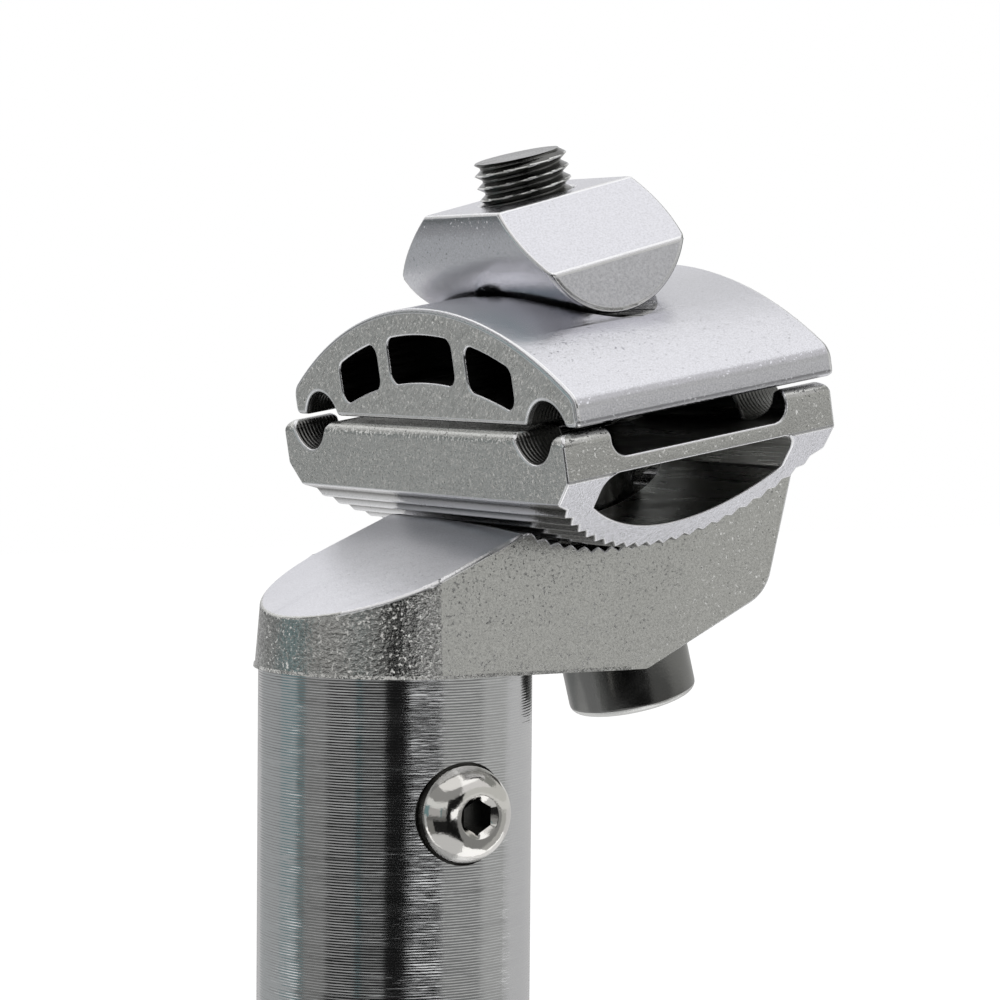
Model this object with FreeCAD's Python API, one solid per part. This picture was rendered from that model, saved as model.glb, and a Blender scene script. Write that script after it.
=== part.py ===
"""One-bolt bicycle seatpost with a setback head and a serrated saddle-rail clamp.

Units are millimetres. Z runs up the post, X points to the rear of the bicycle and the
origin is on the tube's axis at its lower end. Clamp pieces are drawn in a frame of
their own, s rearward and h upward, with its origin on the parting plane, and are then
tilted on to the head.
"""
import FreeCAD, Part

import math
import os

from FreeCAD import Vector

# Post and its tube
post_length = 300.0
rail_rise = 26.7
tube_diameter = 27.2
tube_wall = 2.4
tube_end_chamfer = 0.6
insertion_line_height = 100.0
insertion_line_width = 0.8
insertion_line_depth = 0.2
tube_length = post_length - rail_rise

# Rail clamp as a whole
setback = 18.1
clamp_tilt = 9.6
parting_gap = 0.4
rail_diameter = 7.0
rail_spacing = 44.0
rail_outer_wall = 2.0

# Serrated cradle between the head and the lower clamp
pivot_s = -1.0
pivot_h = 6.8
tooth_tip_radius = 20.9
tooth_depth = 0.5
tooth_pitch_angle = 4.25
cradle_clearance = 0.1
tilt_down = 5.0
tilt_up = 15.0

# Lower clamp
lower_length = 31.2
lower_end_inset = 0.1
bar_thickness = 5.5
web_top_depth = 3.35
web_thickness = 1.5
pocket_wall_radius = 18.5
pocket_length = 22.0
pocket_corner_radius = 1.5
lower_groove_depth = 2.85
lower_lip_radius = 0.9
lower_top_radius = 1.1
lower_end_radius = 1.2
lower_recess_radius = 1.6
end_bevel_start = 4.9
lower_edge_break = 0.25

# Upper clamp
upper_front = -14.8
upper_rear = 15.2
crown_height = 11.3
crown_side_height = 2.75
crown_corner_radius = 2.0
upper_foot_radius = 0.7
upper_groove_depth = 2.4
upper_lip_radius = 0.6
crown_wall = 2.7
window_floor_height = 3.9
window_floor_drop = 2.8
window_rib = 2.4
window_middle_half = 6.25
window_to_rail_wall = 1.7
window_corner_radius = 1.2
window_depth = 7.6
upper_edge_break = 0.25

# Clamp bolt, barrel nut and swivel washer
bolt_tilt = 14.7
bolt_diameter = 9.6
bolt_head_diameter = 13.2
bolt_head_height = 10.0
bolt_head_edge_chamfer = 0.9
bolt_socket_across_flats = 8.0
bolt_socket_depth = 5.0
bolt_tip_chamfer = 0.7
bolt_tip_rise = 7.4
nut_axis_s = 0.48
nut_axis_h = 17.23
nut_diameter = 17.4
nut_length = 29.0
nut_flat_height = 3.2
nut_bevel_half = 7.1
nut_bevel_end_drop = 3.24
nut_edge_break = 0.3
nut_seat_gap = 0.4
nut_to_bearing_length = 40.1
washer_thickness = 4.5
washer_radius = 7.0
washer_length = 14.0
washer_hole_clearance = 0.25
washer_seat_gap = 0.1
bolt_slot_side_clearance = 0.45
bolt_slot_end_clearance = 0.35

# Head casting
head_rim_radius = 13.95
head_flat_half_width = 13.7
head_draft = 4.6
head_top_front_height = 5.3
head_top_rear_x = 8.4
head_top_rear_height = 15.25
head_crown = 0.6
head_slope_roll = 2.1
head_underside_start = 20.9
head_underside_end_x = 35.7
head_underside_end_height = 7.0
head_rear_top_x = 39.9
head_rear_top_height = 20.6
head_heel_radius = 5.0
head_toe_radius = 2.0
head_lip_radius = 1.0
head_cradle_front_angle = 31.0
head_cradle_rear_angle = 52.0
head_edge_radius = 0.5
head_recess_clearance = 0.6
head_recess_corner_radius = 2.5
flash_height = 0.35
flash_width = 0.12
spigot_length = 32.0
spigot_bond_gap = 0.04
spigot_bore = 14.0
spigot_bore_rise = 3.0
spigot_chamfer = 1.0

# Head lock screw, M5 with a tall domed head
lock_screw_drop = 13.1
lock_screw_diameter = 5.0
lock_screw_head_diameter = 9.5
lock_screw_head_height = 3.8
lock_screw_head_side = 1.2
lock_screw_flat_radius = 2.1
lock_screw_dome = 0.45
lock_screw_length = 5.0
lock_screw_hex = 3.0
lock_screw_hex_depth = 2.4
lock_screw_seat_radius = 12.6
lock_counterbore_diameter = 10.0

# How far a cutting shape runs past the metal, and how near two ends count as one
overrun = 1.0
near = 1e-6

# Places that follow from the sizes above
tube_radius = tube_diameter / 2
tube_bore_radius = tube_radius - tube_wall
clamp_origin = Vector(setback, 0, post_length)
rail_radius = rail_diameter / 2
upper_width = rail_spacing + rail_diameter + 2 * rail_outer_wall
lower_width = upper_width - 2 * lower_end_inset
crown_drop = crown_height - crown_side_height
crown_radius = (crown_drop ** 2 + (upper_width / 2) ** 2) / (2 * crown_drop)
window_outer_reach = rail_spacing / 2 - rail_radius - window_to_rail_wall
window_floor_radius = (window_floor_drop ** 2 + window_outer_reach ** 2) / (2 * window_floor_drop)
tooth_root_radius = tooth_tip_radius - tooth_depth
head_tooth_tip_radius = tooth_tip_radius + cradle_clearance
head_tooth_root_radius = head_tooth_tip_radius + tooth_depth
lower_front = pivot_s - lower_length / 2
lower_rear = pivot_s + lower_length / 2
lock_screw_z = tube_length - lock_screw_drop
SIDE = Vector(0, 1, 0)


def radians(angle):
    return math.radians(angle)


def from_clamp(s, h):
    """Post-frame point of a point on the clamp's middle plane."""
    c = math.cos(radians(clamp_tilt))
    t = math.sin(radians(clamp_tilt))
    return Vector(clamp_origin.x + s * c - h * t, 0, clamp_origin.z + s * t + h * c)


pivot = from_clamp(pivot_s, pivot_h)
nut_centre = from_clamp(nut_axis_s, nut_axis_h)
crest = pivot + Vector(-head_tooth_tip_radius * math.sin(radians(head_cradle_front_angle)), 0,
                       -head_tooth_tip_radius * math.cos(radians(head_cradle_front_angle)))
lip = pivot + Vector(head_tooth_tip_radius * math.sin(radians(head_cradle_rear_angle)), 0,
                     -head_tooth_tip_radius * math.cos(radians(head_cradle_rear_angle)))
bolt_down = Vector(math.sin(radians(bolt_tilt)), 0, -math.cos(radians(bolt_tilt)))
bolt_radius = bolt_diameter / 2
head_bearing = nut_centre + bolt_down * nut_to_bearing_length
washer_centre = head_bearing + bolt_down * (washer_radius - washer_thickness)


def line(a, b):
    return Part.LineSegment(a, b).toShape()


def arc(a, middle, b):
    return Part.Arc(a, middle, b).toShape()


def face_from(edges):
    return Part.Face(Part.Wire(edges))


def rounded_face(corners, plane="xz"):
    """Closed outline from (a, b, radius) corners, each rounded by a tangent arc."""
    def place(a, b):
        return Vector(a, 0, b) if plane == "xz" else Vector(0, a, b)

    points = [place(a, b) for a, b, r in corners]
    count = len(points)
    starts = []
    ends = []
    middles = []
    for i in range(count):
        here = points[i]
        back = (points[i - 1] - here).normalize()
        ahead = (points[(i + 1) % count] - here).normalize()
        radius = corners[i][2]
        if radius <= 0:
            starts.append(here)
            ends.append(here)
            middles.append(None)
            continue
        half = back.getAngle(ahead) / 2
        reach = radius / math.tan(half)
        inward = (back + ahead).normalize()
        centre = here + inward * (radius / math.sin(half))
        starts.append(here + back * reach)
        ends.append(here + ahead * reach)
        middles.append(centre - inward * radius)
    edges = []
    for i in range(count):
        if middles[i] is not None:
            edges.append(arc(starts[i], middles[i], ends[i]))
        follower = starts[(i + 1) % count]
        if ends[i].distanceToPoint(follower) > near:
            edges.append(line(ends[i], follower))
    return face_from(edges)


def across(face, width):
    """Prism of a side-view face, centred on the middle plane."""
    half = Vector(0, width / 2, 0)
    return face.translated(half * -1).extrude(half * 2)


def along(face, front, rear):
    """Prism of an end-view face between two fore-and-aft stations."""
    return face.translated(Vector(front, 0, 0)).extrude(Vector(rear - front, 0, 0))


def tilted(shape):
    """Seat a clamp piece on the head at the clamp's tilt."""
    turned = shape.copy()
    turned.rotate(Vector(0, 0, 0), SIDE, -clamp_tilt)
    turned.translate(clamp_origin)
    return turned


def on_bolt(shape):
    """Place a piece drawn about an upright axis through the nut's centre."""
    turned = shape.copy()
    turned.rotate(Vector(0, 0, 0), SIDE, -bolt_tilt)
    turned.translate(nut_centre)
    return turned


def edges_where(shape, test):
    return [edge for edge in shape.Edges if test(edge)]


def is_straight_along(edge, direction):
    if edge.Curve.TypeId != "Part::GeomLine":
        return False
    return abs(abs(edge.tangentAt(edge.FirstParameter).dot(direction)) - 1) < near


def bolt_lean(tilt_change):
    """Change of the bolt's lean when the clamp is tilted, with both ends swivelling."""
    above_pivot = nut_centre - pivot
    above_washer = nut_centre - washer_centre
    shift = above_pivot.z * math.sin(radians(tilt_change))
    return math.degrees(math.asin(shift / above_washer.z))


def bolt_sweep_in_clamp(h):
    """Fore-and-aft reach of the bolt's axis at height h of the clamp, over its tilt."""
    reaches = []
    for change in (-tilt_down, 0.0, tilt_up):
        lean = bolt_tilt + bolt_lean(change) - clamp_tilt - change
        reaches.append(nut_axis_s + (nut_axis_h - h) * math.tan(radians(lean)))
    return min(reaches), max(reaches)


def slot(front, rear, half_width, bottom, top):
    """Upright slot with round ends."""
    middle = half_width
    edges = [line(Vector(front, -middle, bottom), Vector(rear, -middle, bottom)),
             arc(Vector(rear, -middle, bottom), Vector(rear + middle, 0, bottom),
                 Vector(rear, middle, bottom)),
             line(Vector(rear, middle, bottom), Vector(front, middle, bottom)),
             arc(Vector(front, middle, bottom), Vector(front - middle, 0, bottom),
                 Vector(front, -middle, bottom))]
    return face_from(edges).extrude(Vector(0, 0, top - bottom))


def bolt_slot_in_clamp(low, high):
    """Slot that lets the bolt lean over the clamp's whole tilt, between two heights."""
    reaches = bolt_sweep_in_clamp(low) + bolt_sweep_in_clamp(high)
    grow = bolt_slot_end_clearance
    half = bolt_radius + bolt_slot_side_clearance
    return slot(min(reaches) - grow, max(reaches) + grow, half, low, high)


def rail_groove(centre, surface, depth, lip_radius, opens_up):
    """Edges of a rail groove with rounded lips, from its left lip to its right lip."""
    sign = 1 if opens_up else -1
    axis_height = surface - sign * (depth - rail_radius)
    lip_height = surface - sign * lip_radius
    rise = lip_height - axis_height
    reach = math.sqrt((rail_radius + lip_radius) ** 2 - rise ** 2)
    share = rail_radius / (rail_radius + lip_radius)
    points = []
    for side in (-1, 1):
        lip_centre = Vector(0, centre + side * reach, lip_height)
        crest = Vector(0, centre + side * reach, surface)
        touch = Vector(0, centre + side * reach * share, axis_height + rise * share)
        outward = (Vector(0, centre, axis_height) - lip_centre).normalize()
        upward = Vector(0, 0, sign)
        middle = lip_centre + (outward + upward).normalize() * lip_radius
        points.append((crest, middle, touch))
    left, right = points
    bottom = Vector(0, centre, surface - sign * depth)
    return [left, bottom, right]


def grooved_face(surface, far, half_width, corner_radius, depth, lip_radius, opens_up, far_edges):
    """End view of a clamp: a grooved face on the rail side, any outline on the other."""
    sign = 1 if opens_up else -1
    edges = []
    start = Vector(0, -half_width, surface - sign * corner_radius)
    diagonal = corner_radius * (1 - math.sqrt(0.5))
    here = Vector(0, -half_width + corner_radius, surface)
    edges.append(arc(start, Vector(0, -half_width + diagonal, surface - sign * diagonal), here))
    for centre in (-rail_spacing / 2, rail_spacing / 2):
        left, bottom, right = rail_groove(centre, surface, depth, lip_radius, opens_up)
        edges.append(line(here, left[0]))
        edges.append(arc(left[0], left[1], left[2]))
        edges.append(arc(left[2], bottom, right[2]))
        edges.append(arc(right[2], right[1], right[0]))
        here = right[0]
    corner = Vector(0, half_width - corner_radius, surface)
    edges.append(line(here, corner))
    end = Vector(0, half_width, surface - sign * corner_radius)
    edges.append(arc(corner, Vector(0, half_width - diagonal, surface - sign * diagonal), end))
    edges.extend(far_edges(end, start, far))
    return face_from(edges)


def tooth_points(first_angle, last_angle, tip_radius, root_radius, phase):
    """Points of V teeth about the pivot, angles counted rearward from straight down."""
    half = tooth_pitch_angle / 2
    first = math.ceil((first_angle - phase) / half)
    last = math.floor((last_angle - phase) / half)
    points = []
    for step in range(first, last + 1):
        radius = tip_radius if step % 2 == 0 else root_radius
        angle = radians(phase + step * half)
        points.append((radius * math.sin(angle), -radius * math.cos(angle)))
    return points


def lower_clamp():
    """Grooved rail bars over a hollow serrated cradle, its ends bevelled underneath."""
    top = -parting_gap
    web_top = top - web_top_depth + parting_gap
    web_bottom = web_top - web_thickness
    half = lower_length / 2
    corner_angle = math.degrees(math.asin(half / tooth_tip_radius))
    corners = [(lower_front, top, lower_top_radius),
               (lower_front + bar_thickness, top, lower_edge_break * 2),
               (lower_front + bar_thickness, web_top, lower_recess_radius),
               (lower_rear - bar_thickness, web_top, lower_recess_radius),
               (lower_rear - bar_thickness, top, lower_edge_break * 2),
               (lower_rear, top, lower_top_radius)]
    corner_drop = math.sqrt(tooth_tip_radius ** 2 - half ** 2)
    corners.append((lower_rear, pivot_h - corner_drop, 0))
    teeth = tooth_points(-corner_angle + tooth_pitch_angle / 2, corner_angle - tooth_pitch_angle / 2,
                         tooth_tip_radius, tooth_root_radius, 0.0)
    for a, b in reversed(teeth):
        corners.append((pivot_s + a, pivot_h + b, 0))
    corners.append((lower_front, pivot_h - corner_drop, 0))
    body = across(rounded_face(corners), lower_width)

    pocket_front = pivot_s - pocket_length / 2
    pocket_rear = pivot_s + pocket_length / 2
    arc_low = pivot_h - pocket_wall_radius
    arc_side = pivot_h - math.sqrt(pocket_wall_radius ** 2 - (pocket_length / 2) ** 2)
    outline = face_from([line(Vector(pocket_front, 0, web_bottom), Vector(pocket_rear, 0, web_bottom)),
                         line(Vector(pocket_rear, 0, web_bottom), Vector(pocket_rear, 0, arc_side)),
                         arc(Vector(pocket_rear, 0, arc_side), Vector(pivot_s, 0, arc_low),
                             Vector(pocket_front, 0, arc_side)),
                         line(Vector(pocket_front, 0, arc_side), Vector(pocket_front, 0, web_bottom))])
    pocket = across(outline, lower_width + 2 * overrun)
    pocket = pocket.makeFillet(pocket_corner_radius,
                               edges_where(pocket, lambda e: is_straight_along(e, SIDE)
                                           and e.CenterOfMass.z > web_bottom - near))
    body = body.cut(pocket)

    depth_below = pivot_h - tooth_tip_radius - overrun
    bevel = -end_bevel_start - depth_below

    def bevelled(end, start, far):
        half_width = lower_width / 2
        path = [end, Vector(0, half_width, -end_bevel_start), Vector(0, half_width - bevel, far),
                Vector(0, -half_width + bevel, far), Vector(0, -half_width, -end_bevel_start), start]
        return [line(a, b) for a, b in zip(path[:-1], path[1:])]

    frame = grooved_face(top, depth_below, lower_width / 2, lower_end_radius, lower_groove_depth,
                         lower_lip_radius, True, bevelled)
    body = body.common(along(frame, lower_front - overrun, lower_rear + overrun))
    body = body.cut(bolt_slot_in_clamp(web_bottom - overrun / 2, web_top + overrun / 2))
    body = body.cut(bolt_slot_in_clamp(depth_below, arc_side + overrun))
    return tilted(body)


def window_tool(left, right):
    """Cored window between two stations across the clamp, under the crown's wall."""
    crown_centre = crown_height - crown_radius
    roof_radius = crown_radius - crown_wall
    floor_centre = window_floor_height - window_floor_radius

    def roof(y):
        return crown_centre + math.sqrt(roof_radius ** 2 - y ** 2)

    def floor(y):
        return floor_centre + math.sqrt(window_floor_radius ** 2 - y ** 2)

    middle = (left + right) / 2
    edges = [line(Vector(0, left, floor(left)), Vector(0, left, roof(left))),
             arc(Vector(0, left, roof(left)), Vector(0, middle, roof(middle)),
                 Vector(0, right, roof(right))),
             line(Vector(0, right, roof(right)), Vector(0, right, floor(right))),
             arc(Vector(0, right, floor(right)), Vector(0, middle, floor(middle)),
                 Vector(0, left, floor(left)))]
    tool = along(face_from(edges), 0, window_depth + overrun)
    fore = Vector(1, 0, 0)
    return tool.makeFillet(window_corner_radius, edges_where(tool, lambda e: is_straight_along(e, fore)))


def upper_clamp():
    """Crowned clamp with cored windows, rail grooves and a seat for the barrel nut."""
    crown_centre = crown_height - crown_radius
    half_width = upper_width / 2
    inner = crown_radius - crown_corner_radius
    corner_y = half_width - crown_corner_radius
    corner_z = crown_centre + math.sqrt(inner ** 2 - corner_y ** 2)
    reach = crown_radius / inner
    touch_y = corner_y * reach
    touch_z = crown_centre + (corner_z - crown_centre) * reach
    turn = math.atan2(corner_z - crown_centre, corner_y) / 2
    mid_y = corner_y + crown_corner_radius * math.cos(turn)
    mid_z = corner_z + crown_corner_radius * math.sin(turn)

    def crowned(end, start, far):
        side_top = Vector(0, half_width, corner_z)
        crest = Vector(0, touch_y, touch_z)
        mirror = Vector(0, -touch_y, touch_z)
        far_side = Vector(0, -half_width, corner_z)
        return [line(end, side_top),
                arc(side_top, Vector(0, mid_y, mid_z), crest),
                arc(crest, Vector(0, 0, far), mirror),
                arc(mirror, Vector(0, -mid_y, mid_z), far_side),
                line(far_side, start)]

    outline = grooved_face(0.0, crown_height, half_width, upper_foot_radius, upper_groove_depth,
                           upper_lip_radius, False, crowned)
    front = upper_front
    rear = upper_rear
    body = along(outline, front, rear)
    ends = edges_where(body, lambda e: abs(e.CenterOfMass.x - front) < near
                       or abs(e.CenterOfMass.x - rear) < near)
    body = body.makeChamfer(upper_edge_break, ends)

    inner_edge = window_middle_half + window_rib
    for left, right in ((-window_middle_half, window_middle_half),
                        (inner_edge, window_outer_reach),
                        (-window_outer_reach, -inner_edge)):
        tool = window_tool(left, right)
        body = body.cut(tool.translated(Vector(front - overrun, 0, 0)))
        body = body.cut(tool.translated(Vector(rear - window_depth, 0, 0)))

    seat = Part.makeCylinder(nut_diameter / 2 + nut_seat_gap, upper_width,
                             Vector(nut_axis_s, -upper_width / 2, nut_axis_h), SIDE)
    body = body.cut(seat)
    body = body.cut(bolt_slot_in_clamp(-overrun, nut_axis_h))
    return tilted(body)


def barrel_nut():
    """Round bar with a flat top, long bevels towards its ends and a threaded hole."""
    radius = nut_diameter / 2
    bar = Part.makeCylinder(radius, nut_length, Vector(0, -nut_length / 2, 0), SIDE)
    rims = edges_where(bar, lambda e: e.Curve.TypeId == "Part::GeomCircle")
    bar = bar.makeChamfer(nut_edge_break, rims)
    half = nut_length / 2
    wide = half + overrun
    slope = (nut_flat_height + nut_bevel_end_drop) / (half - nut_bevel_half)
    end_height = -nut_bevel_end_drop - slope * overrun
    corners = [(-wide, -radius - overrun), (wide, -radius - overrun), (wide, end_height),
               (nut_bevel_half, nut_flat_height), (-nut_bevel_half, nut_flat_height), (-wide, end_height)]
    outline = rounded_face([(a, b, 0) for a, b in corners], "yz")
    bar = bar.common(along(outline, -radius - overrun, radius + overrun))
    hole = Part.makeCylinder(bolt_radius, nut_diameter * 2, Vector(0, 0, -nut_diameter))
    return on_bolt(bar.cut(hole))


def hexagon(across_flats, centre_height, depth):
    """Hexagon prism that runs down from a height."""
    radius = across_flats / math.sqrt(3)
    points = []
    for step in range(7):
        angle = radians(60 * step)
        points.append(Vector(radius * math.cos(angle), radius * math.sin(angle), centre_height))
    return Part.Face(Part.makePolygon(points)).extrude(Vector(0, 0, -depth))


def clamp_bolt():
    """Cylinder-head bolt, entered from below, its thread ending above the nut."""
    bearing = -nut_to_bearing_length
    bottom = bearing - bolt_head_height
    tip = bolt_tip_rise
    half_head = bolt_head_diameter / 2
    edge = bolt_head_edge_chamfer
    corners = [(0, bottom, 0), (half_head - edge, bottom, 0), (half_head, bottom + edge, 0),
               (half_head, bearing, 0), (bolt_radius, bearing, 0),
               (bolt_radius, tip - bolt_tip_chamfer, 0), (bolt_radius - bolt_tip_chamfer, tip, 0),
               (0, tip, 0)]
    bolt = rounded_face(corners).revolve(Vector(0, 0, 0), Vector(0, 0, 1), 360)
    socket = hexagon(bolt_socket_across_flats, 0, bolt_socket_depth)
    bolt = bolt.cut(socket.translated(Vector(0, 0, bottom + bolt_socket_depth)))
    return on_bolt(bolt)


def swivel_washer():
    """Half-round washer that lets the bolt lean in the head."""
    centre_height = -nut_to_bearing_length - (washer_radius - washer_thickness)
    bar = Part.makeCylinder(washer_radius, washer_length,
                            Vector(0, -washer_length / 2, centre_height), SIDE)
    keep = Part.makeBox(4 * washer_radius, 2 * washer_length, 2 * washer_radius,
                        Vector(-2 * washer_radius, -washer_length, -nut_to_bearing_length))
    hole = Part.makeCylinder(bolt_radius + washer_hole_clearance, 4 * washer_radius,
                             Vector(0, 0, -nut_to_bearing_length - 2 * washer_radius))
    return on_bolt(bar.common(keep).cut(hole))


def drafted_head(grow, height):
    """Round nose and flat sides of the head, drawn in by the casting's draft on the way up."""
    z = tube_length
    shrink = math.tan(radians(head_draft)) * height
    radius = head_rim_radius + grow
    half = head_flat_half_width + grow
    sides = face_from([line(Vector(0, -half, z), Vector(0, half, z)),
                       line(Vector(0, half, z), Vector(0, half - shrink, z + height)),
                       line(Vector(0, half - shrink, z + height), Vector(0, shrink - half, z + height)),
                       line(Vector(0, shrink - half, z + height), Vector(0, -half, z))])
    cone = Part.makeCone(radius, radius - shrink, height, Vector(0, 0, z))
    nose = cone.common(along(sides, -radius, 0.0))
    return nose.fuse(along(sides, 0.0, head_rear_top_x + overrun)).removeSplitter()


def head_block():
    """Drafted casting under the line of its side view, before the cradle is cut."""
    z = tube_length
    height = pivot.z - z
    front = -head_rim_radius - overrun
    corners = [(front, z, 0), (front, z + height, 0), (lip.x, z + height, 0), (lip.x, lip.z, 0),
               (head_rear_top_x, z + head_rear_top_height, head_lip_radius),
               (head_underside_end_x, z + head_underside_end_height, head_heel_radius),
               (head_underside_start, z, head_toe_radius)]
    width = 2 * (head_rim_radius + overrun)
    return drafted_head(0.0, height).common(across(rounded_face(corners), width))


def slope_cutter():
    """Block whose hollow underside leaves the head's top slope, crowned side to side."""
    front = Vector(-head_rim_radius, 0, tube_length + head_top_front_height)
    rear = Vector(head_top_rear_x, 0, tube_length + head_top_rear_height)
    rise = math.atan2(rear.z - front.z, rear.x - front.x)
    half = head_rim_radius + overrun
    tall = pivot.z - tube_length
    outline = face_from([arc(Vector(0, -half, -head_crown), Vector(0, 0, 0), Vector(0, half, -head_crown)),
                         line(Vector(0, half, -head_crown), Vector(0, half, tall)),
                         line(Vector(0, half, tall), Vector(0, -half, tall)),
                         line(Vector(0, -half, tall), Vector(0, -half, -head_crown))])
    block = along(outline, -overrun, 2 * tall)
    block.rotate(Vector(0, 0, 0), SIDE, -math.degrees(rise))
    block.rotate(Vector(0, 0, 0), Vector(1, 0, 0), head_slope_roll)
    block.translate(front)
    return block


def cradle_cutter():
    """Hollow for the lower clamp, with teeth phased to mesh at the clamp's tilt."""
    phase = math.fmod(clamp_tilt, tooth_pitch_angle)
    margin = tooth_pitch_angle / 4
    teeth = tooth_points(-head_cradle_front_angle + margin, head_cradle_rear_angle - margin,
                         head_tooth_root_radius, head_tooth_tip_radius, phase)
    path = [crest]
    path.extend(pivot + Vector(a, 0, b) for a, b in teeth)
    path.append(lip)
    path.append(Vector(lip.x, 0, pivot.z + overrun))
    path.append(Vector(crest.x, 0, pivot.z + overrun))
    path.append(crest)
    return across(Part.Face(Part.makePolygon(path)), 2 * (head_rim_radius + overrun))


def bolt_passage():
    """Slot for the leaning bolt, a round seat for the washer and a recess below it."""
    low_lean = min(bolt_lean(-tilt_down), bolt_lean(tilt_up))
    high_lean = max(bolt_lean(-tilt_down), bolt_lean(tilt_up))
    centre = -nut_to_bearing_length - (washer_radius - washer_thickness)
    top = (nut_centre - pivot).dot(bolt_down)
    reach = top - centre
    low = reach * math.tan(radians(low_lean))
    high = reach * math.tan(radians(high_lean))
    grow = bolt_slot_end_clearance
    half = bolt_radius + bolt_slot_side_clearance
    through = slot(-high - grow, -low + grow, half, centre, top)
    seat = Part.makeCylinder(washer_radius + washer_seat_gap, washer_length + 2 * head_recess_clearance,
                             Vector(0, -washer_length / 2 - head_recess_clearance, centre), SIDE)
    swing = bolt_head_height * math.tan(radians(max(high_lean, -low_lean)))
    long_half = bolt_head_diameter / 2 + swing + head_recess_clearance
    wide_half = washer_length / 2 + head_recess_clearance
    deep = bolt_head_height + washer_radius
    recess = Part.makeBox(2 * long_half, 2 * wide_half, deep,
                          Vector(-long_half, -wide_half, centre - deep))
    upright = edges_where(recess, lambda e: is_straight_along(e, Vector(0, 0, 1)))
    recess = recess.makeFillet(head_recess_corner_radius, upright)
    return on_bolt(through.fuse(seat).fuse(recess))


def post_head():
    """Cast head: round boss on the tube, flat-sided overhang, cradle and bolt passage."""
    z = tube_length
    body = head_block().cut(slope_cutter())
    brow = edges_where(body, on_slope_edge)
    body = body.makeFillet(head_edge_radius, brow)
    body = body.cut(cradle_cutter())
    flash_end = head_underside_start - head_toe_radius
    flash = drafted_head(flash_width, flash_height)
    far = head_rim_radius + overrun
    body = body.fuse(flash.common(Part.makeBox(flash_end + far, 2 * far, flash_height,
                                               Vector(-far, -far, z))))
    body = body.cut(bolt_passage())
    spigot_radius = tube_bore_radius - spigot_bond_gap
    spigot = Part.makeCylinder(spigot_radius, spigot_length, Vector(0, 0, z - spigot_length))
    foot = edges_where(spigot, lambda e: abs(e.CenterOfMass.z - z + spigot_length) < near)
    spigot = spigot.makeChamfer(spigot_chamfer, foot)
    body = body.fuse(spigot)
    bore = Part.makeCylinder(spigot_bore / 2, spigot_length + spigot_bore_rise,
                             Vector(0, 0, z - spigot_length))
    body = body.cut(bore)
    tapped = Part.makeCylinder(lock_screw_diameter / 2, tube_radius,
                               Vector(0, -tube_radius, lock_screw_z), SIDE)
    return body.cut(tapped).removeSplitter()


def on_slope_edge(edge):
    """True for the rim of the top slope, which runs round the nose to the crest."""
    middle = edge.valueAt((edge.FirstParameter + edge.LastParameter) / 2)
    if middle.z < tube_length + head_top_front_height - 2 * head_crown:
        return False
    on_nose = middle.x < -head_rim_radius / 2
    on_side = middle.x < crest.x and abs(middle.y) > head_flat_half_width / 2
    return on_nose or on_side


def post_tube():
    """Turned tube with an insertion line and a counterbored hole for the lock screw."""
    tube = Part.makeCylinder(tube_radius, tube_length)
    tube = tube.cut(Part.makeCylinder(tube_bore_radius, tube_length))
    tube = tube.makeChamfer(tube_end_chamfer, edges_where(
        tube, lambda e: e.Curve.TypeId == "Part::GeomCircle" and e.CenterOfMass.z < near
        and e.Curve.Radius < tube_radius - near))
    line_floor = Part.makeCylinder(tube_radius - insertion_line_depth, insertion_line_width,
                                   Vector(0, 0, insertion_line_height))
    line_band = Part.makeCylinder(tube_radius + overrun, insertion_line_width,
                                  Vector(0, 0, insertion_line_height))
    tube = tube.cut(line_band.cut(line_floor))
    hole = Part.makeCylinder(lock_screw_diameter / 2, tube_radius,
                             Vector(0, -tube_radius, lock_screw_z), SIDE)
    face_depth = tube_radius - lock_screw_seat_radius
    counterbore = Part.makeCylinder(lock_counterbore_diameter / 2, face_depth + overrun,
                                    Vector(0, -tube_radius - overrun, lock_screw_z), SIDE)
    return tube.cut(hole.fuse(counterbore))


def head_lock_screw():
    """Dome-head screw through the tube into the head's spigot."""
    half_head = lock_screw_head_diameter / 2
    rise = lock_screw_head_height
    flat = lock_screw_flat_radius
    shank = lock_screw_diameter / 2
    side = lock_screw_head_side
    mid = Vector((half_head + flat) / 2 + lock_screw_dome, 0, (side + rise) / 2 + lock_screw_dome)
    edges = [line(Vector(0, 0, -lock_screw_length), Vector(shank, 0, -lock_screw_length)),
             line(Vector(shank, 0, -lock_screw_length), Vector(shank, 0, 0)),
             line(Vector(shank, 0, 0), Vector(half_head, 0, 0)),
             line(Vector(half_head, 0, 0), Vector(half_head, 0, side)),
             arc(Vector(half_head, 0, side), mid, Vector(flat, 0, rise)),
             line(Vector(flat, 0, rise), Vector(0, 0, rise)),
             line(Vector(0, 0, rise), Vector(0, 0, -lock_screw_length))]
    screw = face_from(edges).revolve(Vector(0, 0, 0), Vector(0, 0, 1), 360)
    screw = screw.cut(hexagon(lock_screw_hex, rise + overrun, lock_screw_hex_depth + overrun))
    screw.rotate(Vector(0, 0, 0), Vector(1, 0, 0), 90)
    screw.translate(Vector(0, -lock_screw_seat_radius, lock_screw_z))
    return screw


PIECES = {
    "post_tube": post_tube,
    "post_head": post_head,
    "head_lock_screw": head_lock_screw,
    "lower_rail_clamp": lower_clamp,
    "upper_rail_clamp": upper_clamp,
    "barrel_nut": barrel_nut,
    "clamp_bolt": clamp_bolt,
    "swivel_washer": swivel_washer,
}


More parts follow.
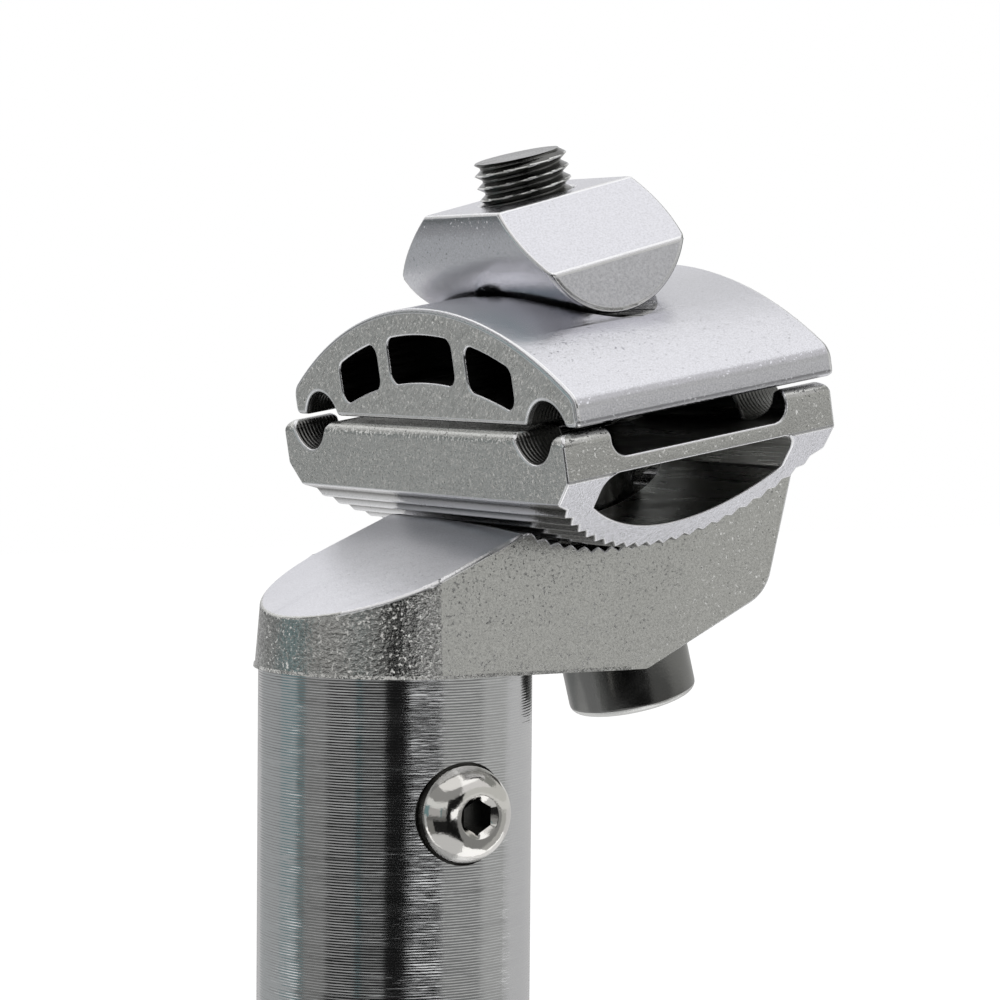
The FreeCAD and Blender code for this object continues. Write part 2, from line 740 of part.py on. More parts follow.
def main():
    os.makedirs("parts", exist_ok=True)
    for name, make in PIECES.items():
        shape = make()
        print(name, "valid", shape.isValid(), "solids", len(shape.Solids),
              "volume %.1f" % shape.Volume, "faces", len(shape.Faces))
        shape.exportStep("parts/%s.step" % name)


main()
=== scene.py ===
"""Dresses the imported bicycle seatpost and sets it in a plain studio."""

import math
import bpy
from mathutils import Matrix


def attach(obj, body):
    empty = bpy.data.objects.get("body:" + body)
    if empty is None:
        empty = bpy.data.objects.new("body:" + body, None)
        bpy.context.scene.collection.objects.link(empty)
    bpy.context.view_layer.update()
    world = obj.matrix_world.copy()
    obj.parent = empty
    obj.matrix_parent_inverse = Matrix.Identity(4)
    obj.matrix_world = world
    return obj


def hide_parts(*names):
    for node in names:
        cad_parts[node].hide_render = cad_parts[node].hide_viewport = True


bl_info = {
    "name": "Bicycle seatpost",
    "version": (1, 0, 0),
    "blender": (4, 5, 0),
    "location": "View3D > Sidebar > Seatpost",
    "description": "Builds the dressed pieces of a one-bolt bicycle seatpost and its studio",
    "category": "Object",
}

import bmesh
import bpy
from bpy.props import FloatProperty, FloatVectorProperty, IntProperty, PointerProperty
from mathutils import Matrix, Vector

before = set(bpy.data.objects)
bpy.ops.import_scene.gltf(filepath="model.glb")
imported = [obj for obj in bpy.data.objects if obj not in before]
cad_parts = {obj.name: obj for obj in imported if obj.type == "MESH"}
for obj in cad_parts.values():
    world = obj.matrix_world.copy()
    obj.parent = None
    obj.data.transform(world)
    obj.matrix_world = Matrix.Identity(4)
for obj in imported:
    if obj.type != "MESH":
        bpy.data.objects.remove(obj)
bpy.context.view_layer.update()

MM = 0.001

# Places in the part's frame, in millimetres and degrees
CLAMP_ORIGIN = Vector((18.1, 0.0, 300.0))
CLAMP_TILT = 9.6
NUT_CENTRE = Vector((15.700, 0.0, 317.069))
NUT_SEAT_RADIUS = 9.1
NUT_BORE_REACH = 6.0
BOLT_TILT = 14.7
BOLT_BEARING = 40.1
THREAD_START = 148.5
LOCK_SCREW_SEAT = Vector((0.0, -12.6, 260.2))
COUNTERBORE_RADIUS = 5.05
COUNTERBORE_END = -8.0
NOSE_END = -2.5
SLOPE_END = 12.0
SLOPE_SIDE = 8.0
FLASH_TOP = 273.75
FLASH_HEIGHT = 1.0

# Places in the clamp's own frame, in millimetres along the rail and up from the clamp's origin,
# and distances from the centre that the clamp tilts about
PIVOT = (-1.0, 6.8)
POCKET_TOP = -4.9
POCKET_HALF_LENGTH = 11.1
POCKET_WALL = 18.7
TEETH_FROM = 20.2
TOOTH_ROOT = 20.45
TOOTH_TIP = 20.8
UPPER_ENDS = (-14.8, 15.2)
WINDOW_FLOOR = 0.9
CROWN_CENTRE = -37.2
CROWN_RADIUS = 48.5
CROWN_SIDE = 24.5
RAIL_SPACING = 44.0
RAIL_RADIUS = 3.5
LOWER_GROOVE_HEIGHT = 0.25
UPPER_GROOVE_HEIGHT = -1.1

# On a copy of a CAD solid, an edge that turns more than SHARP_EDGE degrees is broken, points
# nearer than WELD millimetres become one, and so do faces that turn less than FLAT_TURN degrees
SHARP_EDGE = 24.0
WELD = 0.001
FLAT_TURN = 0.4

# The same weld for the thread, and the turn in degrees past which turned pieces shade sharply
THREAD_WELD = 0.002
THREAD_SHARP = 60.0
TURNED_SHARP = 32.0

# The camera's turn from -Y, its look down and its roll in degrees, and its place in millimetres
CAMERA_ANGLES = (-31.531, 2.807, 0.488)
CAMERA_PLACE = Vector((-171.969, -299.839, 306.791))

# Strengths of the white room as a light and as it is seen, and of the floor's own glow
ROOM_LIGHT = 0.8
ROOM_SEEN = 1.0
FLOOR_GLOW = 0.42

# The studio's grey cards, which only gloss sees: the azimuths and elevations that each
# fills as seen from the clamp, in degrees (0 is -Y, 90 is +X), and its tone
ROOM_RADIUS = 3.0
ROOM_HEIGHT = 3.0
CARD_LIFT = 0.002
CARDS = (
    ("grey_cloth_left", -120, -38, -12, -4, "#626261"),
    ("grey_cloth_far_left", -120, -90, -40, -12, "#747472"),
    ("black_cloth_left", -90, -38, -40, -12, "#1C1C1C"),
    ("black_cloth_by_camera", -38, -19, -40, -4, "#121212"),
    ("black_cloth_before_camera", -19, 10, -40, -8, "#0E0E0E"),
    ("pale_table_before_left", -120, 10, -90, -40, "#BDBDBD"),
    ("teal_card_left", -140, -110, -4, 12, "#678083"),
    ("grey_card_left", -110, -62, -4, 12, "#A2A1A0"),
    ("teal_strip_left", -62, -57, -4, 12, "#567174"),
    ("grey_card_left_of_camera", -57, -38, -4, 12, "#858584"),
    ("black_card_by_camera", -38, -19, -4, 25, "#161616"),
    ("dark_card_left_back", -180, -140, 4, 12, "#555857"),
    ("grey_card_left_back", -180, -140, -4, 4, "#909090"),
    ("grey_wall_left", -140, -38, 12, 25, "#CCCDCC"),
    ("white_card_front", -19, 10, -8, 3, "#FFFFFF"),
    ("black_card_front", -19, 10, 3, 25, "#121212"),
    ("grey_wall_left_back", -180, -140, 12, 25, "#C0C0BF"),
    ("grey_wall_right", 10, 120, 4, 25, "#BABAB7"),
    ("pale_wall_back", 120, 180, 4, 25, "#E0E0E2"),
    ("grey_card_right", 10, 140, -4, 4, "#CACAC8"),
    ("grey_card_back", 140, 180, -4, 4, "#949494"),
    ("dark_floor_right", 10, 50, -50, -4, "#7C7C7B"),
    ("grey_floor_right", 50, 80, -50, -4, "#A4A4A2"),
    ("grey_floor_back", 80, 180, -25, -4, "#C2C1C1"),
    ("grey_floor_left_back", -180, -120, -25, -4, "#A8AAAA"),
    ("pale_floor_back", 90, 225, -90, -25, "#DADADA"),
    ("dark_scrim_left", -150, 0, 25, 50, "#888887"),
    ("dark_scrim_right", 60, 120, 25, 50, "#7F807D"),
    ("grey_scrim_front", 0, 60, 25, 50, "#CFCECE"),
    ("grey_scrim_back", 120, 152, 25, 50, "#D8D8D8"),
    ("pale_scrim_above_left", -180, 0, 50, 90, "#DEDDDC"),
)


def srgb(text):
    """Linear colour of a written sRGB hex value."""
    parts = [int(text[i:i + 2], 16) / 255 for i in (1, 3, 5)]
    return [c / 12.92 if c <= 0.04045 else ((c + 0.055) / 1.055) ** 2.4 for c in parts] + [1.0]


def repeats_per_metre(millimetres):
    """Noise or cell scale at which one feature is this wide."""
    return 1.0 / (millimetres * MM)


def waves_per_metre(millimetres):
    """Wave scale at which its bands are this far apart; at a scale of 1 they are 0.31416 m."""
    return 0.31416 / (millimetres * MM)


# Materials

# A Mix node's results share one name, and its colour is the third. A Map Range is given its
# value, the range that the value spans, and the range that it is turned into
MIXED_COLOUR = 2

# Skins of the aluminium castings: dark and light tint, width and depth of the grain in mm, the
# level of a wider noise past which grains glint and their tilt, least and most roughness, then
# stretch and turn of the grain. Real grains from blasting or sand are about 0.05 to 0.15 mm wide;
# they are drawn wider, so that they show
CAST_SKINS = {
    # Shot blasted: small dimples spread the light to an even grey with a fine speckle
    "shot_blasted_cast_aluminium": ("cast_dark", "cast_light", (0.2, 0.014), (0.63, 0.33), (0.2, 0.3)),
    # Tumbled among stones: almost smooth, so it mirrors the room in broad soft patches; its pale satin
    # tints are partly painted light
    "tumbled_cast_aluminium": ("satin_dark", "satin_light", (0.16, 0.006), (0.66, 0.2), (0.2, 0.27)),
    # Ground on a fine wheel: one even pale sheen over the whole slope, with few glints; the paleness
    # is partly painted light from its satin tints
    "ground_aluminium_slope": ("satin_dark", "satin_light", (0.16, 0.01), (0.66, 0.1), (0.3, 0.38)),
    # Left as it came from the sand mould: bumps that show as bright and dark specks
    "as_cast_aluminium": ("cast_dark", "cast_light", (0.28, 0.08), (0.55, 0.3), (0.18, 0.28)),
    # Cast against coarse sand: hollows painted dark, a painted shade, between grains that glitter
    "coarse_cast_aluminium": (
        "coarse_dark", "cast_light", (0.3, 0.07), (0.62, 0.33), (0.08, 0.14), (1.5, 1.5, 1)),
    # Mould skin rubbed over when the casting was trimmed: rough and glittering, and pale with the
    # satin tints, partly painted light for the bright floor that it faces
    "trimmed_casting_bevel": ("satin_dark", "satin_light", (0.22, 0.07), (0.64, 0.12), (0.14, 0.2)),
    # Ground on a belt: marks that all lean one way and draw each glint out with them
    "belt_ground_cast_aluminium": (
        "cast_dark", "cast_light", (0.28, 0.08), (0.55, 0.3), (0.2, 0.28), (1, 4, 1),
        (math.radians(-38), 0, 0)),
    # Flash that squeezed out between the mould's halves: a ragged line of crumbs and gaps
    "ragged_casting_flash": ("cast_dark", "cast_light", (0.8, 0.45), (0.4, 0.33), (0.14, 0.22)),
    # Bar aluminium tumbled after machining: a little whiter and closer than the castings
    "tumbled_aluminium_nut": ("nut_dark", "nut_light", (0.2, 0.012), (0.68, 0.2), (0.18, 0.26)),
}

# Plain metals: tint, roughness, and the width and depth in mm of the fine tooth in their sheen,
# which on the real ones is about ten times finer and would not show
PLAIN_METALS = {
    # Aluminium edge that tumbling rubbed smooth, its near-white tint also a painted highlight: it
    # draws a thin bright line round each form
    "rubbed_aluminium_edge": ("edge_tint", 0.24, 0.3, 0.02),
    # Milled aluminium tinted dark, a painted shade of the gap round the lock screw: a dark ring with a
    # soft glint
    "dulled_counterbore": ("hollow_tint", 0.3, 0.3, 0.02),
    # Blackened steel, punched and then oxidised: dark, with a dull gloss
    "blackened_steel_washer": ("steel_tint", 0.3, 0.2, 0.012),
    # Blackened steel, turned and then oxidised: dark, with a closer gloss
    "blackened_steel_bolt": ("steel_tint", 0.2, 0.25, 0.01),
    # Thread pressed between rolling dies: dark flanks, smooth enough to flash
    "rolled_steel_thread": ("thread_tint", 0.16, 0.3, 0.03),
    # Steel whose black has worn away on crests and rims, its pale tint also a painted highlight for
    # their glints: a bright line
    "worn_steel_rim": ("worn_tint", 0.24, 0.25, 0.03),
    # Nickel plate on a polished steel dome: a near mirror, faintly uneven
    "nickel_plated_screw": ("screw_tint", 0.1, 0.6, 0.02),
    # Steel inside the pressed socket, tinted dark as a painted shade of its depth, and a little dull
    "unplated_socket": ("hollow_tint", 0.25, 0.3, 0.02),
}


def feed(tree, made, inputs):
    """Give a node's sockets each a value or the output that feeds it, in a list in their own
    order or under their identifiers or names; a node stands for its first output."""
    identified = {socket.identifier: socket for socket in made.inputs}
    for key, value in inputs.items() if isinstance(inputs, dict) else enumerate(inputs):
        socket = identified[key] if key in identified else made.inputs[key]
        if isinstance(value, bpy.types.Node):
            value = value.outputs[0]
        if isinstance(value, bpy.types.NodeSocket):
            tree.links.new(value, socket)
        else:
            socket.default_value = value


def node(tree, kind, inputs=(), **settings):
    """Add one node with its settings and what feeds its sockets."""
    made = tree.nodes.new(kind)
    for key, value in settings.items():
        setattr(made, key, value)
    feed(tree, made, inputs)
    return made


def new_metal(name, tint, rough):
    """Metal shader with plain sockets; returns the material, its tree and its shader."""
    material = bpy.data.materials.new(name)
    material.use_nodes = True
    tree = material.node_tree
    shader = tree.nodes["Principled BSDF"]
    shader.inputs["Base Color"].default_value = tint
    shader.inputs["Metallic"].default_value = 1.0
    shader.inputs["Roughness"].default_value = rough
    return material, tree, shader


def object_place(tree, stretch=(1, 1, 1), turn=(0, 0, 0), centre=(0, 0, 0)):
    """Object coordinates turned and centred, a pattern then drawn so many times longer."""
    coordinates = node(tree, "ShaderNodeTexCoord")
    return node(tree, "ShaderNodeMapping", {
        "Vector": coordinates.outputs["Object"], "Location": centre, "Rotation": turn,
        "Scale": stretch}, vector_type="TEXTURE")


def facets(tree, normal, width, level, tilt):
    """Turn scattered grains of a skin aside, as crystal faces are, so they catch the light."""
    place = object_place(tree)
    cells = node(tree, "ShaderNodeTexVoronoi", {
        "Vector": place, "Scale": repeats_per_metre(width)})
    patches = node(tree, "ShaderNodeTexNoise", {
        "Vector": place, "Scale": repeats_per_metre(width * 1.6), "Detail": 1.0})
    where = node(tree, "ShaderNodeMapRange", [patches, level, level + 0.03, 0.0, tilt])
    # A cell's colour less a half pushes its grain aside, and the last number keeps it upright
    aside = node(tree, "ShaderNodeVectorMath", [cells.outputs["Color"], (0.5, 0.5, -1.6)],
                 operation="SUBTRACT")
    scaled = node(tree, "ShaderNodeVectorMath", {"Vector": aside, "Scale": where},
                  operation="SCALE")
    turned = node(tree, "ShaderNodeVectorMath", [normal, scaled], operation="ADD")
    return node(tree, "ShaderNodeVectorMath", [turned], operation="NORMALIZE")


def blasted_casting(name, tints, grain, glint, rough, stretch=(1, 1, 1), turn=(0, 0, 0)):
    """Cast aluminium from the table of skins, its dark and light tint given as colours."""
    # Grains of the mould or the blast tilt the skin this way and that, so a grey metal shows pale and
    # dark specks, and now and then a grain that faces the light. The tint is also painted darker where
    # the grains sink, a painted shade in their hollows, and at scattered specks
    material, tree, shader = new_metal(name, tints[1], rough[1])
    lumps = node(tree, "ShaderNodeTexNoise", {
        "Vector": object_place(tree), "Scale": repeats_per_metre(3.5), "Detail": 3.0})
    grains = node(tree, "ShaderNodeTexNoise", {
        "Vector": object_place(tree, stretch, turn), "Scale": repeats_per_metre(grain[0]),
        "Detail": 3.0, "Roughness": 0.6})
    dark_specks = node(tree, "ShaderNodeTexNoise", {
        "Vector": object_place(tree, centre=(0.1, 0.2, 0.3)), "Scale": repeats_per_metre(0.42)})
    unspecked = node(tree, "ShaderNodeMapRange", [dark_specks, 0.2, 0.27])
    raised = node(tree, "ShaderNodeMapRange", [grains, 0.3, 0.62, 0.5])
    shade = node(tree, "ShaderNodeMath", [raised, unspecked], operation="MULTIPLY")
    tone = node(tree, "ShaderNodeMix", {
        "Factor_Float": shade, "A_Color": tints[0], "B_Color": tints[1]}, data_type="RGBA")
    sheen = node(tree, "ShaderNodeMapRange", [grains, 0.35, 0.65, rough[1], rough[0]])
    uneven = node(tree, "ShaderNodeBump", {"Height": lumps, "Distance": 0.06 * MM})
    grainy = node(tree, "ShaderNodeBump", {
        "Height": grains, "Distance": grain[1] * MM, "Normal": uneven})
    feed(tree, shader, {
        "Base Color": tone.outputs[MIXED_COLOUR], "Roughness": sheen,
        "Normal": facets(tree, grainy, 0.2, *glint)})
    return material


def turned_tube_metal(tint):
    """Drawn aluminium tube turned in a lathe."""
    # The tool's rings mirror high and low by turns, which reads as bright and dark lines
    # that break into streaks. Real ones are about 0.1 mm apart, and are drawn 0.27 mm apart
    material, tree, shader = new_metal("turned_aluminium_tube", tint, 0.2)
    rings = node(tree, "ShaderNodeTexWave", {
        "Vector": object_place(tree, (60, 60, 1)), "Scale": waves_per_metre(0.27),
        "Distortion": 1.2, "Detail": 2.0}, wave_type="BANDS", bands_direction="Z")
    streaks = node(tree, "ShaderNodeTexNoise", {
        "Vector": object_place(tree, (16, 16, 1)), "Scale": repeats_per_metre(0.42),
        "Detail": 3.0, "Roughness": 0.65})
    patches = node(tree, "ShaderNodeTexNoise", {
        "Vector": object_place(tree, (9, 9, 1)), "Scale": repeats_per_metre(1.3)})
    strength = node(tree, "ShaderNodeMapRange", [patches, 0.3, 0.55, 0.5])
    broken = node(tree, "ShaderNodeMath", [rings.outputs["Fac"], strength],
                  operation="MULTIPLY")
    bands = node(tree, "ShaderNodeTexNoise", {
        "Vector": object_place(tree, (90, 90, 1)), "Scale": repeats_per_metre(2.2)})
    sheen = node(tree, "ShaderNodeMapRange", [bands, 0.35, 0.65, 0.12, 0.17])
    ringed = node(tree, "ShaderNodeBump", {"Height": broken, "Distance": 0.016 * MM})
    streaked = node(tree, "ShaderNodeBump", {
        "Height": streaks, "Distance": 0.03 * MM, "Normal": ringed})
    feed(tree, shader, {"Roughness": sheen, "Normal": streaked})
    return material


def ridged_groove(tint):
    """Cast rail groove whose cross ridges bite on the rail."""
    # Ridges 0.4 mm apart draw fine cross lines of light along a dull grey hollow, whose tint, darker
    # than the casting's, is painted shade
    material, tree, shader = new_metal("ridged_cast_rail_groove", tint, 0.3)
    place = object_place(tree, turn=(0, math.radians(-CLAMP_TILT), 0), centre=CLAMP_ORIGIN * MM)
    ridges = node(tree, "ShaderNodeTexWave", {
        "Vector": place, "Scale": waves_per_metre(0.4), "Distortion": 0.4, "Detail": 2.0},
        wave_type="BANDS", bands_direction="X")
    grains = node(tree, "ShaderNodeTexNoise", {"Vector": place, "Scale": repeats_per_metre(0.3)})
    sheen = node(tree, "ShaderNodeMapRange", [grains, 0.35, 0.65, 0.26, 0.38])
    ridged = node(tree, "ShaderNodeBump", {
        "Height": ridges.outputs["Fac"], "Distance": 0.04 * MM})
    grainy = node(tree, "ShaderNodeBump", {
        "Height": grains, "Distance": 0.03 * MM, "Normal": ridged})
    feed(tree, shader, {"Roughness": sheen, "Normal": grainy})
    return material


def teeth_with_painted_light(dark, light):
    """Broached aluminium teeth of the cradle, with painted shade and highlight."""
    # Painted shade keeps the roots dark and a painted highlight makes the tips bright, so each tooth
    # is drawn as a dark and a light line; the tone follows the distance from the cradle's centre
    material, tree, shader = new_metal("broached_aluminium_teeth", light, 0.18)
    centre = Matrix.Rotation(math.radians(-CLAMP_TILT), 3, "Y") @ Vector((PIVOT[0], 0, PIVOT[1]))
    place = object_place(tree, stretch=(1, 1000, 1), centre=(CLAMP_ORIGIN + centre) * MM)
    reach = node(tree, "ShaderNodeVectorMath", [place], operation="LENGTH")
    height = node(tree, "ShaderNodeMapRange", [
        reach.outputs["Value"], TOOTH_ROOT * MM, TOOTH_TIP * MM])
    tone = node(tree, "ShaderNodeMix", {
        "Factor_Float": height, "A_Color": dark, "B_Color": light}, data_type="RGBA")
    grains = node(tree, "ShaderNodeTexNoise", {
        "Vector": object_place(tree), "Scale": repeats_per_metre(0.3)})
    grainy = node(tree, "ShaderNodeBump", {"Height": grains, "Distance": 0.03 * MM})
    feed(tree, shader, {"Base Color": tone.outputs[MIXED_COLOUR], "Normal": grainy})
    return material


def streaked_hollow(name, tint, streak_depth):
    """Skin of a hollow that a core left in the aluminium casting."""
    # The core slid out and drew marks 0.3 mm wide, so a dull skin shows faint streaks
    material, tree, shader = new_metal(name, tint, 0.32)
    streaks = node(tree, "ShaderNodeTexNoise", {
        "Vector": object_place(tree, (9, 30, 1), (0, math.radians(-CLAMP_TILT), 0)),
        "Scale": repeats_per_metre(0.32), "Detail": 3.0, "Roughness": 0.6})
    sheen = node(tree, "ShaderNodeMapRange", [streaks, 0.35, 0.65, 0.22, 0.42])
    streaked = node(tree, "ShaderNodeBump", {"Height": streaks, "Distance": streak_depth * MM})
    feed(tree, shader, {"Roughness": sheen, "Normal": streaked})
    return material


def smooth_metal(name, tint, rough, grain_width, grain_depth):
    """Metal from the table of plain ones: a close sheen, uneven over a few millimetres."""
    material, tree, shader = new_metal(name, tint, rough)
    place = object_place(tree)
    grain = node(tree, "ShaderNodeTexNoise", {
        "Vector": place, "Scale": repeats_per_metre(grain_width), "Detail": 3.0,
        "Roughness": 0.6})
    cloud = node(tree, "ShaderNodeTexNoise", {"Vector": place, "Scale": repeats_per_metre(3.0)})
    sheen = node(tree, "ShaderNodeMapRange", [cloud, 0.3, 0.7, rough * 0.8, rough * 1.25])
    toothed = node(tree, "ShaderNodeBump", {"Height": grain, "Distance": grain_depth * MM})
    feed(tree, shader, {"Roughness": sheen, "Normal": toothed})
    return material


def metal(name):
    """A material from the two tables, made once and shared by the pieces that wear it."""
    found = bpy.data.materials.get(name)
    if found:
        return found
    if name in PLAIN_METALS:
        tint, *values = PLAIN_METALS[name]
        return smooth_metal(name, colour(tint), *values)
    dark, light, *values = CAST_SKINS[name]
    return blasted_casting(name, (colour(dark), colour(light)), *values)


# Mesh helpers


def new_object(name, data):
    """New object in the scene."""
    made = bpy.data.objects.new(name, data)
    bpy.context.scene.collection.objects.link(made)
    return made


def wear(piece, materials, choose):
    """Dress a mesh; choose names the material of each face from its centre and normal."""
    piece.data.materials.clear()
    for material in materials.values():
        piece.data.materials.append(material)
    order = list(materials)
    for face in piece.data.polygons:
        face.material_index = order.index(choose(face.center / MM, face.normal))


def settle(piece):
    """Turn a piece's modifiers into plain mesh."""
    bpy.context.view_layer.update()
    evaluated = piece.evaluated_get(bpy.context.evaluated_depsgraph_get())
    mesh = bpy.data.meshes.new_from_object(evaluated)
    piece.modifiers.clear()
    piece.data = mesh


def finish_piece(piece, body, cad_node):
    """Give a piece its body, and hide the CAD node that it stands for."""
    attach(piece, body)
    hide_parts(cad_node)


def dress_node(name, body, cad_node, edge, materials, choose=None, share=None):
    """Merged, smooth-shaded copy of a CAD node; its broken edges wear the last material.
    choose names a face's material from its centre and normal. share says, of an edge's middle
    and its faces' materials, how much of the edge's width it gets."""
    order = list(materials)
    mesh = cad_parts[cad_node].data.copy()
    shape = bmesh.new()
    shape.from_mesh(mesh)
    bmesh.ops.remove_doubles(shape, verts=shape.verts, dist=WELD * MM)
    bmesh.ops.dissolve_limit(shape, angle_limit=math.radians(FLAT_TURN), verts=shape.verts,
                             edges=shape.edges)
    for face in shape.faces:
        face.smooth = True
        if choose:
            face.material_index = order.index(choose(face.calc_center_median() / MM, face.normal))
        else:
            face.material_index = 0
    broken = shape.edges.layers.float.new("bevel_weight_edge")
    for line in shape.edges:
        if len(line.link_faces) == 2 and line.calc_face_angle() > math.radians(SHARP_EDGE):
            middle = (line.verts[0].co + line.verts[1].co) / 2 / MM
            touching = {order[face.material_index] for face in line.link_faces}
            part = share(middle, touching) if share else 1.0
            part = part if edge > 0 and line.is_convex else 0.0
            line.smooth = part > 0
            line[broken] = part
    mesh.name = name
    mesh.materials.clear()
    for material in materials.values():
        mesh.materials.append(material)
    shape.to_mesh(mesh)
    shape.free()
    piece = new_object(name, mesh)
    if edge > 0:
        bevel = piece.modifiers.new("broken edges", "BEVEL")
        bevel.width = edge
        bevel.segments = 2
        bevel.limit_method = "WEIGHT"
        bevel.use_clamp_overlap = False
        bevel.material = len(materials) - 1
        even = piece.modifiers.new("flat faces shaded flat", "WEIGHTED_NORMAL")
        even.mode = "FACE_AREA"
        even.keep_sharp = True
        settle(piece)
    finish_piece(piece, body, cad_node)


def ring(height, count, radius, across_flats=None):
    """Points round a circle, or at the same angles round a hexagon across whose flats is given."""
    points = []
    for i in range(count):
        angle = 2 * math.pi * i / count
        if across_flats:
            within = (angle + math.pi / 6) % (math.pi / 3) - math.pi / 6
            radius = across_flats / 2 / math.cos(within)
        points.append(Vector((radius * math.cos(angle), radius * math.sin(angle), height)))
    return points


def turned_piece(name, profile, flats, socket, count, place):
    """Closed solid turned from a profile of radii and heights, with a hexagon socket that runs
    from one height to another."""
    rings = [ring(height, count, radius) for radius, height in profile]
    rings += [ring(height, count, 0.0, flats) for height in socket]
    shape = bmesh.new()
    rows = []
    for points in rings:
        rows.append([shape.verts.new(place @ (p * MM)) for p in points])
    for low, high in zip(rows[:-1], rows[1:]):
        for i in range(count):
            j = (i + 1) % count
            shape.faces.new((low[i], low[j], high[j], high[i]))
    for row in (rows[0], rows[-1]):
        centre = shape.verts.new(sum((v.co for v in row), Vector()) / count)
        for i in range(count):
            shape.faces.new((row[i], row[(i + 1) % count], centre))
    bmesh.ops.recalc_face_normals(shape, faces=shape.faces)
    for face in shape.faces:
        face.smooth = True
    mesh = bpy.data.meshes.new(name)
    shape.to_mesh(mesh)
    shape.free()
    mesh.set_sharp_from_angle(angle=math.radians(TURNED_SHARP))
    return new_object(name, mesh)


def bolt_place():
    """Frame of the bolt: its origin at the nut's centre, Z up the thread."""
    return Matrix.Translation(NUT_CENTRE * MM) @ Matrix.Rotation(math.radians(-BOLT_TILT), 4, "Y")


def arc_points(centre_r, centre_z, radius, start, end, steps):
    """Pairs of radius and height along an arc, its angles in degrees."""
    pairs = []
    for i in range(steps + 1):
        angle = math.radians(start + (end - start) * i / steps)
        pairs.append((centre_r + radius * math.cos(angle), centre_z + radius * math.sin(angle)))
    return pairs


# Sizes and finishes


def length(name, description, default):
    """Property that holds a length, its default given in millimetres."""
    return FloatProperty(name=name, description=description, default=default * MM, min=0.0,
                         unit="LENGTH", precision=5)


def tint(name, description, hex_value):
    """Property that holds a colour, its default given as an sRGB hex value."""
    return FloatVectorProperty(name=name, description=description, default=srgb(hex_value)[:],
                               size=4, subtype="COLOR", min=0.0, max=1.0)


class SeatpostSizes(bpy.types.PropertyGroup):
    """Sizes of the broken edges and of the pieces that the scene builds itself"""
    cast_edge: length("Cast edge", "Round on the casting's edges", 0.22)
    slope_edge: length("Slope edge", "Round on the edge of the head's ground slope", 0.36)
    nut_edge: length("Nut edge", "Round on the barrel nut's edges", 0.3)
    washer_edge: length("Washer edge", "Round on the swivel washer's edges", 0.2)
    thread_pitch: length("Thread pitch", "Distance from one thread crest to the next", 1.25)
    thread_depth: length("Thread depth", "From crest to root", 0.72)
    thread_crest: length("Crest radius", "Radius at the thread's crests", 4.8)
    thread_top: length("Thread top", "Height of the bolt's tip above the nut's centre", 7.398)
    thread_length: length("Thread length", "Length of the rolled thread", 31.25)
    thread_chamfer: length("Tip chamfer", "How far the bolt's tip is turned down", 0.3)
    bolt_head: length("Bolt head diameter", "Across the bolt's round head", 13.2)
    bolt_head_height: length("Bolt head height", "From its bearing face to its end", 10.0)
    bolt_socket: length("Bolt socket", "Across the flats of the bolt's hexagon socket", 8.0)
    screw_head: length("Lock screw head", "Across the lock screw's round head", 9.5)
    screw_head_height: length("Lock screw head height", "From its seat to its flat top", 3.8)
    screw_head_side: length("Lock screw side", "Straight side under the dome", 1.2)
    screw_socket: length("Lock screw socket", "Across the flats of its hexagon socket", 3.0)
    round_steps: IntProperty(name="Steps round", description="Points round a turned piece",
                             default=96, min=24, max=240)


class SeatpostFinish(bpy.types.PropertyGroup):
    """Tints of the metals"""
    # The low tints colour the grains' hollows, a painted shade there; the coarse one is darkest
    cast_dark: tint("Casting, low", "Blasted aluminium between its grains", "#A2A2A0")
    cast_light: tint("Casting, high", "Blasted aluminium on its grains", "#DADAD7")
    coarse_dark: tint("Coarse casting, low", "Hollows of the coarse skin", "#505050")
    # The satin tints are paler than the blasted ones, partly for their closer finish and partly as
    # painted light on faces that look up to the bright room or down to the pale floor. They lean
    # faintly blue, a painted tint of the light's lilac cast
    satin_dark: tint("Satin, low", "Tumbled aluminium between its grains", "#C8C8CB")
    satin_light: tint("Satin, high", "Tumbled aluminium on its grains", "#EAEAF0")
    # Near white: rubbed metal and a painted highlight on the broken edges and the teeth's tips
    edge_tint: tint("Edges", "Aluminium rubbed bright along its edges, and a painted highlight", "#FAFAFC")
    # Darker than the casting: painted shade in the rail grooves
    groove_tint: tint("Rail grooves", "Skin of the ridged grooves", "#8C8C8A")
    pocket_tint: tint("Pocket", "Skin inside the lower clamp's pocket", "#F6F6F4")
    # Painted shade: the dark tint of the cast windows, the counterbore and the lock screw's socket
    hollow_tint: tint("Hollows", "Painted shade in the windows, counterbore and socket", "#5A5A58")
    tube_tint: tint("Tube", "Turned aluminium", "#DCDDDE")
    # Faintly blue: a painted tint of the light's lilac cast
    nut_dark: tint("Barrel nut, low", "Tumbled aluminium between its grains", "#CACACE")
    nut_light: tint("Barrel nut, high", "Tumbled aluminium on its grains", "#E8E8EE")
    # The bolt's blackened steel; this tint also paints the shade in the roots of the cradle's teeth
    steel_tint: tint("Bolt", "Blackened steel", "#868684")
    # Pale steel: worn metal and a painted highlight on the thread's crests and the bolt's rim
    worn_tint: tint("Worn steel", "Steel worn bright, and a painted highlight", "#E0E0DE")
    thread_tint: tint("Thread", "Rolled steel between its worn crests", "#6E6E6C")
    screw_tint: tint("Lock screw", "Nickel plate", "#F4F2EE")


